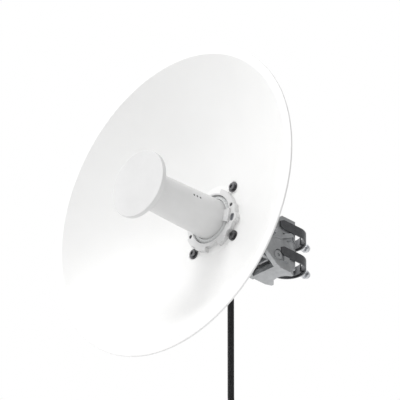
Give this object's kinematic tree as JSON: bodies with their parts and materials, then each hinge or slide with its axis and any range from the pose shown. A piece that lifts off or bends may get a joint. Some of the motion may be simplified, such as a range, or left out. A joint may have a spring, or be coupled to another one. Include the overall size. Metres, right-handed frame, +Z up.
{
  "type": "outdoor wireless bridge",
  "caption": "Round dish antenna with a radio in its feed tube, on a tilting bracket with two straps that clamp to a pole; a drop cable hangs below.",
  "frame": {"origin": "on the axis of the pole that the bracket clamps to, midway between the two clamp straps", "axes": "+Z up along the pole, the dish looks along -Y, +X to the right of someone who faces the dish"},
  "size_m": [0.45, 0.3311, 0.673],
  "materials": {
    "dish_white": "satin powder coat",
    "radome_white": "smooth satin",
    "dark_screw": "blackened",
    "steel_washer": "stainless",
    "latch_grey": "satin",
    "spring_steel": "bright",
    "seal_black": "matt",
    "lamp_window": "smoked clear",
    "sheet_silver": "tinned",
    "horn_alloy": "machined",
    "probe_brass": "gold flash",
    "board_green": "solder mask",
    "chip_black": "moulded",
    "pad_grey": "soft",
    "housing_grey": "powder coat",
    "cover_fastener": "stainless",
    "gland_black": "nylon",
    "plug_clear": "clear polycarbonate",
    "cable_black": "outdoor sheath",
    "tie_black": "hook and loop",
    "bracket_alloy": "tumbled casting",
    "bush_nylon": "nylon",
    "bolt_zinc": "zinc plated",
    "strap_steel": "zinc plated"
  },
  "bodies": {
    "head": {"dish_reflector": "dish_white", "dish_screws": "dark_screw", "dish_washers": "dark_screw", "feed_collar": "radome_white", "collar_screws": "dark_screw", "latch_spring": "spring_steel", "feed_tube": "radome_white", "base_seal": "seal_black", "led_windows": "lamp_window", "feed_cap": "radome_white", "sub_reflector": "sheet_silver", "feed_horn": "horn_alloy", "feed_probe": "probe_brass", "main_pcb": "board_green", "rf_shields": "sheet_silver", "radio_chips": "chip_black", "heat_spreader": "horn_alloy", "thermal_pad": "pad_grey", "housing_seal": "seal_black", "rear_housing": "housing_grey", "housing_screws": "cover_fastener", "cover_seal": "seal_black", "rear_cover": "housing_grey", "cover_screws": "cover_fastener", "reset_switch": "chip_black", "vent_plug": "seal_black", "gland_body": "gland_black", "gland_seal": "seal_black", "gland_nut": "gland_black", "ethernet_jack": "sheet_silver", "inner_plug": "plug_clear", "inner_lead": "cable_black", "tilt_bracket": "bracket_alloy", "pivot_bushes": "bush_nylon"},
    "bracket": {"pole_bracket": "bracket_alloy", "hinge_bolt": "bracket_alloy", "lock_bolt": "bolt_zinc", "cross_nuts": "bolt_zinc", "cross_washers": "steel_washer", "ground_screw": "cover_fastener", "upper_strap": "strap_steel", "lower_strap": "strap_steel", "strap_nuts": "bolt_zinc"},
    "lock_ring": {"lock_ring": "housing_grey"},
    "latch": {"latch_button": "latch_grey"},
    "reset": {"reset_button": "latch_grey"},
    "upper_pad": {"upper_pad": "strap_steel"},
    "lower_pad": {"lower_pad": "strap_steel"},
    "upper_jack": {"upper_jack_bolt": "bolt_zinc"},
    "lower_jack": {"lower_jack_bolt": "bolt_zinc"},
    "cable": {"drop_cable": "cable_black", "cable_coil": "cable_black", "coil_tie": "tie_black", "cable_tail": "cable_black", "cable_boot": "cable_black", "cable_plug": "plug_clear"}
  },
  "joints": [
    {"name": "elevation_tilt", "type": "hinge", "parent": "bracket", "child": "head", "pos_m": [0, -0.043, -0.0305], "axis": [-1, 0, 0], "range_deg": [-15, 15]},
    {"name": "cable_swing", "type": "hinge", "parent": "head", "child": "cable", "pos_m": [0, -0.1095, -0.0645], "axis": [-1, 0, 0], "range_deg": [-15, 15]},
    {"name": "lock_ring_twist", "type": "hinge", "parent": "head", "child": "lock_ring", "pos_m": [0, -0.15, -0.0065], "axis": [0, -1, 0], "range_deg": [0, 18]},
    {"name": "latch_press", "type": "slide", "parent": "head", "child": "latch", "axis": [0, 1, 0], "range_m": [0, 0.002], "stiffness_N_per_m": 400, "springref_m": -0.001},
    {"name": "reset_press", "type": "slide", "parent": "head", "child": "reset", "axis": [-0.6157, 0, 0.788], "range_m": [0, 0.001], "stiffness_N_per_m": 600, "springref_m": -0.001},
    {"name": "upper_pad_slide", "type": "slide", "parent": "bracket", "child": "upper_pad", "axis": [0, 1, 0], "range_m": [0, 0.003]},
    {"name": "lower_pad_slide", "type": "slide", "parent": "bracket", "child": "lower_pad", "axis": [0, 1, 0], "range_m": [0, 0.003]},
    {"name": "upper_jack_turn", "type": "hinge", "parent": "upper_pad", "child": "upper_jack", "pos_m": [0, 0.03, 0.0205], "axis": [0, -1, 0], "range_deg": [0, 1081]},
    {"name": "lower_jack_turn", "type": "hinge", "parent": "lower_pad", "child": "lower_jack", "pos_m": [0, 0.03, -0.0205], "axis": [0, -1, 0], "range_deg": [0, 1081]}
  ],
  "couplings": [
    {"joint": "cable_swing", "follows": "elevation_tilt", "ratio": -1},
    {"joint": "upper_jack_turn", "follows": "upper_pad_slide", "rad_per_m": 6283.2},
    {"joint": "lower_jack_turn", "follows": "lower_pad_slide", "rad_per_m": 6283.2}
  ]
}
